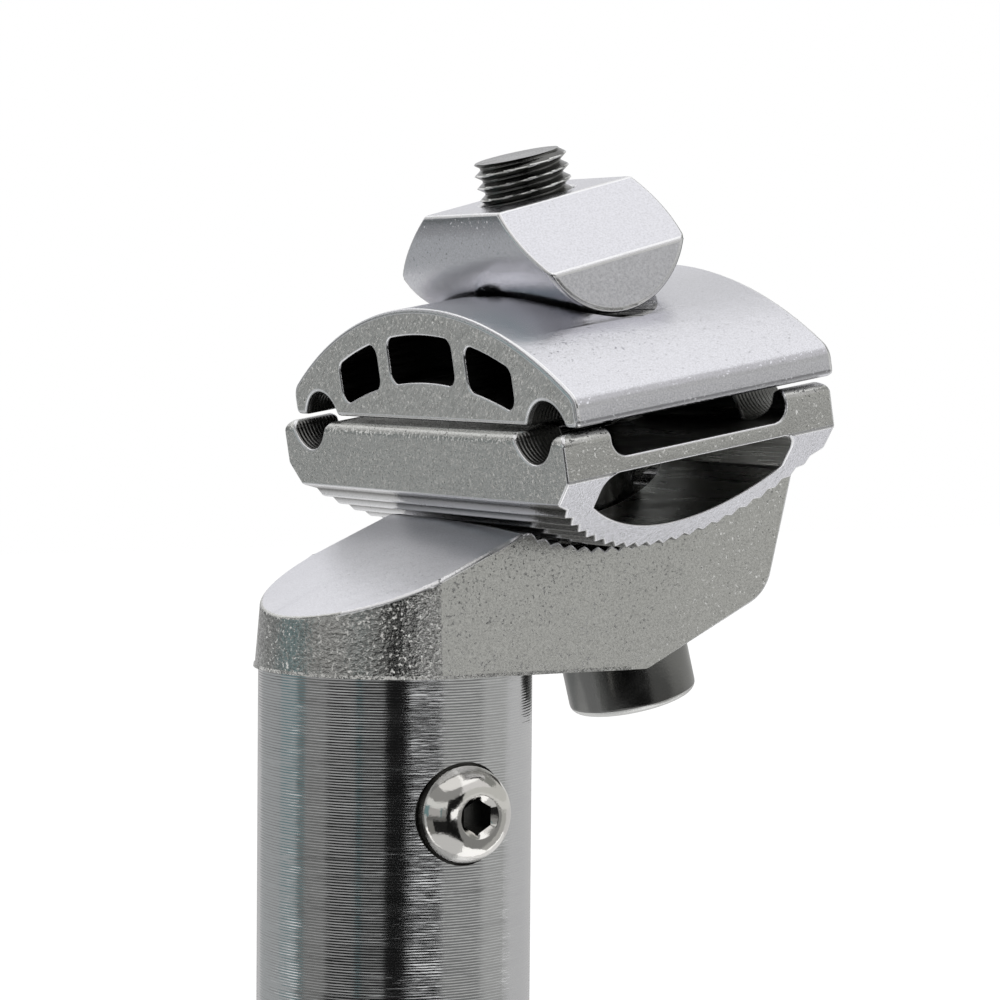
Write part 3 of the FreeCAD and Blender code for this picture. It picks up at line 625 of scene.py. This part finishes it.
class StudioSettings(bpy.types.PropertyGroup):
    """The camera's lens and the studio's sizes"""
    lens: FloatProperty(name="Lens", description="Focal length on a 36 mm sensor, in millimetres",
                        default=125.88, min=10.0, max=500.0)
    floor_size: FloatProperty(name="Floor size", description="Side of the pale floor",
                              default=8.0, unit="LENGTH")
    card_height: FloatProperty(name="Card height", default=0.29, unit="LENGTH",
                               description="Height from which the cards' angles are measured")


# Operators


def sizes():
    """The part's sizes, as the panel shows them."""
    return bpy.context.scene.seatpost_sizes


def colour(name):
    """One of the finishes, as the panel shows it."""
    return getattr(bpy.context.scene.seatpost_finish, name)[:]


def clamp_place(point):
    """A point of the part in the clamp's own frame: along the rail, across, up."""
    return Matrix.Rotation(math.radians(CLAMP_TILT), 3, "Y") @ (point - CLAMP_ORIGIN)


class SEATPOST_OT_tube(bpy.types.Operator):
    """Dress the turned tube"""
    bl_idname = "seatpost.tube"
    bl_label = "Post tube"

    def execute(self, context):
        # The counterbore's wall round the lock screw wears painted shade
        def counterbore(centre, normal):
            reach = math.hypot(centre.x, centre.z - LOCK_SCREW_SEAT.z)
            near = centre.y < COUNTERBORE_END and reach < COUNTERBORE_RADIUS
            return "counterbore" if near else "tube"

        skins = {"tube": turned_tube_metal(colour("tube_tint")),
                 "counterbore": metal("dulled_counterbore")}
        dress_node("turned_post_tube", "post", "post_tube", 0.0, skins,
                   counterbore)
        return {"FINISHED"}


class SEATPOST_OT_head(bpy.types.Operator):
    """Dress the cast head: coarse nose, ground slope, blasted sides"""
    bl_idname = "seatpost.head"
    bl_label = "Post head"

    def execute(self, context):
        # Faces are told by their middle, and by how much of their normal lies along an axis
        def skin_of(centre, normal):
            if FLASH_TOP - FLASH_HEIGHT < centre.z < FLASH_TOP:
                return "flash"
            if centre.x < SLOPE_END and normal.z > 0.86:
                return "slope"
            # The slope's side rim gets the edge metal, a painted highlight along it
            if centre.x < SLOPE_END and normal.z > 0.12 and abs(centre.y) > SLOPE_SIDE:
                return "edge"
            if centre.x < NOSE_END and abs(normal.z) < 0.5:
                return "nose"
            return "sides"

        def share(middle, touching):
            if middle.z < FLASH_TOP:
                return 0.0
            return 1.0 if "slope" in touching and middle.x < SLOPE_END else 0.6

        skins = {"sides": metal("shot_blasted_cast_aluminium"),
                 "nose": metal("coarse_cast_aluminium"),
                 "slope": metal("ground_aluminium_slope"),
                 "flash": metal("ragged_casting_flash"),
                 "edge": metal("rubbed_aluminium_edge")}
        dress_node("cast_post_head", "post", "post_head",
                   sizes().slope_edge, skins, skin_of, share)
        return {"FINISHED"}


class SEATPOST_OT_clamps(bpy.types.Operator):
    """Dress the lower and the upper rail clamp"""
    bl_idname = "seatpost.clamps"
    bl_label = "Rail clamps"

    def execute(self, context):
        turn = Matrix.Rotation(math.radians(CLAMP_TILT), 3, "Y")
        groove_margin = 0.25
        seat_margin = 0.2
        end_margin = 0.35
        crown_margin = 0.7
        window_depth = 1.5

        # Faces are told by their middle, and by how much of their normal lies along an axis
        def in_groove(place, facing, height):
            reach = math.hypot(abs(place.y) - RAIL_SPACING / 2, place.z - height)
            return reach < RAIL_RADIUS + groove_margin and abs(facing.x) < 0.5

        def lower_skin(centre, normal):
            place, facing = clamp_place(centre), turn @ normal
            if in_groove(place, facing, LOWER_GROOVE_HEIGHT):
                return "groove"
            from_pivot = math.hypot(place.x - PIVOT[0], place.z - PIVOT[1])
            if from_pivot > TEETH_FROM and abs(facing.y) < 0.1:
                return "teeth"
            inside = abs(facing.y) < 0.5 and abs(place.x - PIVOT[0]) < POCKET_HALF_LENGTH
            if inside and place.z < POCKET_TOP and from_pivot < POCKET_WALL:
                return "pocket"
            if inside and place.z > POCKET_TOP:
                return "window"
            # The downward bevel wears the pale satin skin, partly painted light from the floor below
            if abs(facing.y) > 0.25 and facing.z < -0.25:
                return "bevel"
            return "end" if abs(facing.x) > 0.8 else "sides"

        def upper_skin(centre, normal):
            place, facing = clamp_place(centre), turn @ normal
            if in_groove(place, facing, UPPER_GROOVE_HEIGHT):
                return "groove"
            end = min(abs(place.x - UPPER_ENDS[0]), abs(place.x - UPPER_ENDS[1]))
            crown = math.hypot(place.y, place.z - CROWN_CENTRE)
            under = crown < CROWN_RADIUS - window_depth and place.z > WINDOW_FLOOR
            if under and end > end_margin:
                return "window"
            if abs(facing.x) > 0.9:
                return "end"
            outer = crown > CROWN_RADIUS - crown_margin or abs(place.y) > CROWN_SIDE
            return "crown" if outer else "sides"

        def clear_of_slot(middle, touching):
            # A broken edge round the nut's seat would stand in the way of the nut
            reach = math.hypot(middle.x - NUT_CENTRE.x, middle.z - NUT_CENTRE.z)
            return 0.0 if reach < NUT_SEAT_RADIUS + seat_margin else 1.0

        # The pocket is a bare pale skin from a core; the windows are tinted dark, a painted shade for
        # their depth
        groove = ridged_groove(colour("groove_tint"))
        pocket = streaked_hollow("cored_aluminium_pocket", colour("pocket_tint"), 0.04)
        window = streaked_hollow("dulled_cored_window", colour("hollow_tint"), 0.02)
        edge = sizes().cast_edge
        skins = {"sides": metal("shot_blasted_cast_aluminium"),
                 "end": metal("as_cast_aluminium"),
                 "bevel": metal("trimmed_casting_bevel"),
                 "groove": groove,
                 "pocket": pocket,
                 "window": window,
                 # The teeth take painted shade at their roots and a painted highlight at their tips
                 "teeth": teeth_with_painted_light(colour("steel_tint"), colour("edge_tint")),
                 "edge": metal("rubbed_aluminium_edge")}
        dress_node("cast_lower_clamp", "clamp", "lower_rail_clamp", edge, skins,
                   lower_skin)
        skins = {"sides": metal("shot_blasted_cast_aluminium"),
                 "end": metal("belt_ground_cast_aluminium"),
                 "crown": metal("tumbled_cast_aluminium"),
                 "groove": groove,
                 "window": window,
                 "edge": metal("rubbed_aluminium_edge")}
        dress_node("cast_upper_clamp", "clamp", "upper_rail_clamp", edge, skins,
                   upper_skin, clear_of_slot)
        return {"FINISHED"}


class SEATPOST_OT_nut(bpy.types.Operator):
    """Dress the barrel nut and the swivel washer"""
    bl_idname = "seatpost.nut"
    bl_label = "Barrel nut and washer"

    def execute(self, context):
        def share(middle, touching):
            # The bore's mouth under the nut stays sharp round the bolt
            under = middle.z < NUT_CENTRE.z and abs(middle.y) < NUT_BORE_REACH
            return 0.0 if under else 1.0

        skins = {"nut": metal("tumbled_aluminium_nut"), "edge": metal("rubbed_aluminium_edge")}
        dress_node("bevelled_barrel_nut", "bolt", "barrel_nut",
                   sizes().nut_edge, skins, None, share)
        skins = {"washer": metal("blackened_steel_washer")}
        dress_node("half_round_washer", "bolt", "swivel_washer",
                   sizes().washer_edge, skins)
        return {"FINISHED"}


def thread_tree():
    """Geometry Nodes that roll a flat grid into a bolt's thread, closed at both ends."""
    tree = bpy.data.node_groups.new("Bolt thread", "GeometryNodeTree")
    inputs = (("Geometry", "Geometry"), ("Pitch", "Float"), ("Depth", "Float"),
              ("Crest radius", "Float"), ("Length", "Float"), ("Tip chamfer", "Float"),
              ("Rows", "Int"), ("Steps round", "Int"), ("Metal", "Material"))
    for name, kind in inputs:
        tree.interface.new_socket(name, in_out="INPUT", socket_type="NodeSocket" + kind)
    tree.interface.new_socket("Geometry", in_out="OUTPUT", socket_type="NodeSocketGeometry")
    given = node(tree, "NodeGroupInput").outputs
    where = node(tree, "GeometryNodeInputPosition")
    apart = node(tree, "ShaderNodeSeparateXYZ", [where])
    # Each row names a value, the one that it starts from, and what is done to it in turn.
    # A row of the grid is one height, its columns go round, and the first and last row close
    # to a point. The flanks are straight and the roots are rounded
    steps = (
        ("columns", "Steps round", ("ADD", 1.0)),
        ("way round", "Y", ("ADD", 0.5)),
        ("last row", "Rows", ("SUBTRACT", 1.0)),
        ("wall rows", "Rows", ("SUBTRACT", 3.0)),
        ("end row", "Rows", ("SUBTRACT", 1.5)),
        ("row", "X", ("ADD", 0.5), ("MULTIPLY", "last row"), ("ROUND",)),
        ("share", "row", ("SUBTRACT", 1.0), ("DIVIDE", "wall rows"), ("MAXIMUM", 0.0),
         ("MINIMUM", 1.0)),
        ("height", "share", ("MULTIPLY", "Length")),
        ("turns", "height", ("DIVIDE", "Pitch"), ("SUBTRACT", "way round"), ("ADD", 10.0)),
        ("flank", "turns", ("FRACT",), ("MULTIPLY", 2.0), ("PINGPONG", 1.0), ("MULTIPLY", 1.2)),
        ("groove", "flank", ("SMOOTH_MIN", 1.0, 0.12), ("MULTIPLY", "Depth")),
        ("from tip", "Length", ("SUBTRACT", "height")),
        ("tip", "Crest radius", ("SUBTRACT", "Tip chamfer"), ("ADD", "from tip")),
        ("wall", "Crest radius", ("SUBTRACT", "groove"), ("MINIMUM", "tip")),
        ("before end", "row", ("LESS_THAN", "end row")),
        ("open", "row", ("GREATER_THAN", 0.5), ("MULTIPLY", "before end")),
        ("radius", "wall", ("MULTIPLY", "open")),
        ("angle", "way round", ("MULTIPLY", 2 * math.pi)),
        ("x", "angle", ("COSINE",), ("MULTIPLY", "radius")),
        ("y", "angle", ("SINE",), ("MULTIPLY", "radius")),
    )
    named = {socket.name: socket for socket in list(given) + list(apart.outputs)}
    for name, start, *chain in steps:
        value = named[start]
        for operation, *terms in chain:
            terms = [value] + [named.get(term, term) for term in terms]
            value = node(tree, "ShaderNodeMath", terms, operation=operation)
        named[name] = value
    rolled = node(tree, "ShaderNodeCombineXYZ", {
        "X": named["x"], "Y": named["y"], "Z": named["height"]})
    grid = node(tree, "GeometryNodeMeshGrid", {
        "Size X": 1.0, "Size Y": 1.0, "Vertices X": named["Rows"],
        "Vertices Y": named["columns"]})
    place = node(tree, "GeometryNodeSetPosition", {
        "Geometry": grid, "Position": rolled})
    merge = node(tree, "GeometryNodeMergeByDistance", {
        "Geometry": place, "Distance": THREAD_WELD * MM})
    smooth = node(tree, "GeometryNodeSetShadeSmooth", {"Geometry": merge})
    real = node(tree, "GeometryNodeRealizeInstances", {"Geometry": smooth})
    dressed = node(tree, "GeometryNodeSetMaterial", {
        "Geometry": real, "Material": named["Metal"]})
    node(tree, "NodeGroupOutput", {"Geometry": dressed})
    return tree


def set_inputs(modifier, values):
    """Set a node tree's inputs by their sockets' identifiers."""
    sockets = {s.name: s.identifier for s in modifier.node_group.interface.items_tree
               if s.in_out == "INPUT"}
    for name, value in values.items():
        modifier[sockets[name]] = value


def rolled_thread(size, rolled):
    """The thread at the bolt's tip, as plain mesh in its place."""
    thread = new_object("clamp_bolt_thread", bpy.data.meshes.new("thread"))
    tree = thread.modifiers.new("thread", "NODES")
    tree.node_group = thread_tree()
    rows_per_turn = 12
    steps_round = 64
    set_inputs(tree, {
        "Pitch": size.thread_pitch, "Depth": size.thread_depth, "Length": size.thread_length,
        "Crest radius": size.thread_crest, "Tip chamfer": size.thread_chamfer,
        "Rows": int(size.thread_length / size.thread_pitch * rows_per_turn),
        "Steps round": steps_round, "Metal": rolled})
    settle(thread)
    lower = Matrix.Translation((0, 0, size.thread_top - size.thread_length))
    start = Matrix.Rotation(math.radians(THREAD_START), 4, "Z")
    thread.data.transform(bolt_place() @ lower @ start)
    shape = bmesh.new()
    shape.from_mesh(thread.data)
    bmesh.ops.recalc_face_normals(shape, faces=shape.faces)
    shape.to_mesh(thread.data)
    shape.free()
    thread.data.set_sharp_from_angle(angle=math.radians(THREAD_SHARP))
    return thread


def shank_and_head(size):
    """The bolt below its thread: a plain shank and a round head with a hexagon socket."""
    corner = 0.4
    rim = 0.9
    lead_in = 0.35
    socket_depth = 5.0
    shank = size.thread_crest / MM - 0.25
    half = size.bolt_head / 2 / MM
    flats = size.bolt_socket / MM
    bearing = -BOLT_BEARING
    bottom = bearing - size.bolt_head_height / MM
    top = (size.thread_top - size.thread_length) / MM + 0.5
    mouth = flats / math.sqrt(3) + lead_in
    profile = [(shank - corner, top), (shank, top - corner), (shank, bearing)]
    profile += [(half - corner, bearing)]
    profile += arc_points(half - corner, bearing - corner, corner, 90, 0, 4)
    profile += arc_points(half - rim, bottom + rim, rim, 0, -90, 6)
    profile += [(mouth + 0.1, bottom), (mouth, bottom + 0.05)]
    return turned_piece("clamp_bolt_shank_and_head", profile, flats,
                        (bottom + 0.4, bottom + socket_depth), size.round_steps, bolt_place())


class SEATPOST_OT_bolt(bpy.types.Operator):
    """Build the clamp bolt with its rolled thread, shank and socket head"""
    bl_idname = "seatpost.bolt"
    bl_label = "Clamp bolt"

    def execute(self, context):
        size = sizes()
        up = bolt_place().to_3x3() @ Vector((0, 0, 1))
        steel = metal("blackened_steel_bolt")
        rolled = metal("rolled_steel_thread")
        worn = metal("worn_steel_rim")
        crest_wear_and_highlight = 0.16
        rim_wear_and_highlight = 1.2
        crest = size.thread_crest / MM - crest_wear_and_highlight
        rim = BOLT_BEARING + size.bolt_head_height / MM - rim_wear_and_highlight

        # Thread crests and the head's lower rim take the pale steel: wear and a painted highlight
        def worn_and_highlit_crest(centre, normal):
            arm = centre - NUT_CENTRE
            return "worn" if (arm - arm.dot(up) * up).length > crest else "rolled"

        def worn_and_highlit_rim(centre, normal):
            past = (NUT_CENTRE - centre).dot(up)
            return "worn" if past > rim and -0.95 < normal.dot(up) < -0.35 else "steel"

        thread = rolled_thread(size, rolled)
        wear(thread, {"rolled": rolled, "worn": worn}, worn_and_highlit_crest)
        finish_piece(thread, "bolt", "clamp_bolt")
        body = shank_and_head(size)
        wear(body, {"steel": steel, "worn": worn}, worn_and_highlit_rim)
        finish_piece(body, "bolt", "clamp_bolt")
        return {"FINISHED"}


class SEATPOST_OT_lock_screw(bpy.types.Operator):
    """Build the dome-head lock screw"""
    bl_idname = "seatpost.lock_screw"
    bl_label = "Head lock screw"

    def execute(self, context):
        size = sizes()
        shank = 2.5
        shank_length = 5.0
        lead_in = 0.32
        socket_depth = 2.4
        dome_steps = 16
        dome_start = math.radians(8)
        dome_turn = math.radians(76)
        half = size.screw_head / 2 / MM
        rise = size.screw_head_height / MM
        side = size.screw_head_side / MM
        flats = size.screw_socket / MM
        mouth = flats / math.sqrt(3) + lead_in
        profile = [(shank - 0.1, -shank_length), (shank, 0.2 - shank_length), (shank, 0.0)]
        profile += [(half - 0.25, 0.0), (half - 0.05, 0.15)]
        profile += [(half - 0.05, side - 0.3), (half, side - 0.2)]
        for i in range(dome_steps + 1):
            angle = dome_start + dome_turn * i / dome_steps
            reach = (half - mouth) * math.cos(angle) / math.cos(dome_start)
            climb = (math.sin(angle) - math.sin(dome_start)) / (1 - math.sin(dome_start))
            profile.append((mouth + reach, side + (rise - side) * climb))
        profile += [(mouth + 0.06, rise - 0.01), (mouth - 0.02, rise - 0.06)]
        place = Matrix.Translation(LOCK_SCREW_SEAT * MM) @ Matrix.Rotation(math.radians(90), 4, "X")
        piece = turned_piece("dome_head_lock_screw", profile, flats,
                             (rise - 0.5, rise - socket_depth), size.round_steps, place)
        socket_radius = flats / math.sqrt(3) + 0.02

        # The socket's faces get the dark painted shade
        def socket(centre, normal):
            reach = math.hypot(centre.x, centre.z - LOCK_SCREW_SEAT.z)
            return "socket" if reach < socket_radius else "head"

        wear(piece, {"head": metal("nickel_plated_screw"), "socket": metal("unplated_socket")},
             socket)
        finish_piece(piece, "post", "head_lock_screw")
        return {"FINISHED"}


def seen_directly(tree):
    """1 for camera, glossy and transmission rays, 0 for the rays that light a surface."""
    path = node(tree, "ShaderNodeLightPath").outputs
    seen = node(tree, "ShaderNodeMath", [path["Is Camera Ray"], path["Is Glossy Ray"]],
                operation="MAXIMUM")
    return node(tree, "ShaderNodeMath", [seen, path["Is Transmission Ray"]], operation="MAXIMUM")


def shown_apart(tree, lighting, shown, output):
    """Let one shader light the object, and show the other to the rays that see it directly."""
    mix = node(tree, "ShaderNodeMixShader", [seen_directly(tree), lighting, shown])
    node(tree, output, {"Surface": mix})


def bare_material(name):
    """New material with an empty tree; returns both."""
    material = bpy.data.materials.new(name)
    material.use_nodes = True
    material.node_tree.nodes.clear()
    return material, material.node_tree


def studio_card(name, turn_from, turn_to, look_from, look_to, tone_hex, height):
    """Grey sheet that fills a patch of the view from the object, on floor, wall or ceiling."""
    steepest = 89
    step_across = 6
    step_up = 4
    across = max(2, math.ceil((turn_to - turn_from) / step_across))
    up = max(2, math.ceil((look_to - look_from) / step_up))
    points = []
    for j in range(up + 1):
        look = look_from + (look_to - look_from) * j / up
        look = math.radians(min(max(look, -steepest), steepest))
        room = ROOM_HEIGHT if look > 0 else height - CARD_LIFT
        away = min(ROOM_RADIUS, room / max(abs(math.tan(look)), 1e-6))
        for i in range(across + 1):
            turn = math.radians(turn_from + (turn_to - turn_from) * i / across)
            points.append((away * math.sin(turn), -away * math.cos(turn),
                           height + away * math.tan(look)))
    faces = []
    for j in range(up):
        for i in range(across):
            k = j * (across + 1) + i
            faces.append((k, k + 1, k + across + 2, k + across + 1))
    mesh = bpy.data.meshes.new(name)
    mesh.from_pydata(points, [], faces)
    material, tree = bare_material(name)
    light = node(tree, "ShaderNodeEmission", {"Color": srgb(tone_hex), "Strength": 1.0})
    node(tree, "ShaderNodeOutputMaterial", {"Surface": light})
    mesh.materials.append(material)
    card = new_object(name, mesh)
    card.visible_camera = False
    card.visible_diffuse = False
    card.visible_shadow = False
    return card


def paper_floor(side):
    """Square of white paper that glows a little to the camera and keeps the shadow."""
    half = side / 2
    mesh = bpy.data.meshes.new("floor")
    mesh.from_pydata([(-half, -half, 0), (half, -half, 0), (half, half, 0), (-half, half, 0)],
                     [], [(0, 1, 2, 3)])
    material, tree = bare_material("white_paper_floor")
    paper = node(tree, "ShaderNodeBsdfDiffuse", {"Color": srgb("#E6E6E6")})
    glow = node(tree, "ShaderNodeEmission", {"Strength": FLOOR_GLOW})
    both = node(tree, "ShaderNodeAddShader", [paper, glow])
    shown_apart(tree, paper, both, "ShaderNodeOutputMaterial")
    mesh.materials.append(material)
    return new_object("floor", mesh)


def photo_camera(lens):
    """Camera at the photograph's viewing angle."""
    camera_data = bpy.data.cameras.new("photo_camera")
    camera_data.lens = lens
    camera_data.sensor_width = 36.0
    camera = new_object("photo_camera", camera_data)
    turn, look_down, roll = (math.radians(angle) for angle in CAMERA_ANGLES)
    back = Vector((math.sin(turn) * math.cos(look_down), -math.cos(turn) * math.cos(look_down),
                   math.sin(look_down)))
    right = Vector((math.cos(turn), math.sin(turn), 0.0))
    level = Matrix((right, back.cross(right), back)).transposed()
    rolled = level @ Matrix.Rotation(roll, 3, "Z")
    camera.matrix_world = Matrix.Translation(CAMERA_PLACE * MM) @ rolled.to_4x4()
    return camera


class SEATPOST_OT_studio(bpy.types.Operator):
    """Set up the floor, the soft light, the cards that the metal mirrors and the camera"""
    bl_idname = "seatpost.studio"
    bl_label = "Studio"

    def execute(self, context):
        scene = context.scene
        settings = scene.seatpost_studio
        scene.view_settings.view_transform = "Standard"
        paper_floor(settings.floor_size)
        for card in CARDS:
            studio_card(*card, settings.card_height)
        world = bpy.data.worlds.new("white_room")
        world.cycles.sampling_method = "NONE"
        scene.world = world
        world.use_nodes = True
        tree = world.node_tree
        tree.nodes.clear()
        lighting = node(tree, "ShaderNodeBackground", {
            "Color": srgb("#FFFFFF"), "Strength": ROOM_LIGHT})
        shown = node(tree, "ShaderNodeBackground", {
            "Color": srgb("#FFFFFF"), "Strength": ROOM_SEEN})
        shown_apart(tree, lighting, shown, "ShaderNodeOutputWorld")
        scene.camera = photo_camera(settings.lens)
        return {"FINISHED"}


class SEATPOST_PT_panel(bpy.types.Panel):
    """Sidebar panel with the seatpost's sizes, finishes and operators"""
    bl_label = "Seatpost"
    bl_idname = "SEATPOST_PT_panel"
    bl_space_type = "VIEW_3D"
    bl_region_type = "UI"
    bl_category = "Seatpost"

    def draw(self, context):
        layout = self.layout
        scene = context.scene
        for group in (scene.seatpost_sizes, scene.seatpost_finish, scene.seatpost_studio):
            box = layout.box()
            for name in group.bl_rna.properties.keys():
                if name not in ("rna_type", "name"):
                    box.prop(group, name)
        for operator in OPERATORS:
            layout.operator(operator.bl_idname)


OPERATORS = (SEATPOST_OT_studio, SEATPOST_OT_tube, SEATPOST_OT_head, SEATPOST_OT_clamps,
             SEATPOST_OT_nut, SEATPOST_OT_bolt, SEATPOST_OT_lock_screw)
CLASSES = (SeatpostSizes, SeatpostFinish, StudioSettings) + OPERATORS + (SEATPOST_PT_panel,)


def register():
    """Make the properties, operators and panel known to Blender."""
    for made in CLASSES:
        bpy.utils.register_class(made)
    bpy.types.Scene.seatpost_sizes = PointerProperty(type=SeatpostSizes)
    bpy.types.Scene.seatpost_finish = PointerProperty(type=SeatpostFinish)
    bpy.types.Scene.seatpost_studio = PointerProperty(type=StudioSettings)


def unregister():
    """Take them away again."""
    del bpy.types.Scene.seatpost_studio
    del bpy.types.Scene.seatpost_finish
    del bpy.types.Scene.seatpost_sizes
    for made in reversed(CLASSES):
        bpy.utils.unregister_class(made)


def main():
    """Build the dressed seatpost in its studio."""
    register()
    bpy.ops.seatpost.studio()
    bpy.ops.seatpost.tube()
    bpy.ops.seatpost.head()
    bpy.ops.seatpost.clamps()
    bpy.ops.seatpost.nut()
    bpy.ops.seatpost.bolt()
    bpy.ops.seatpost.lock_screw()


if __name__ == "__main__":
    main()
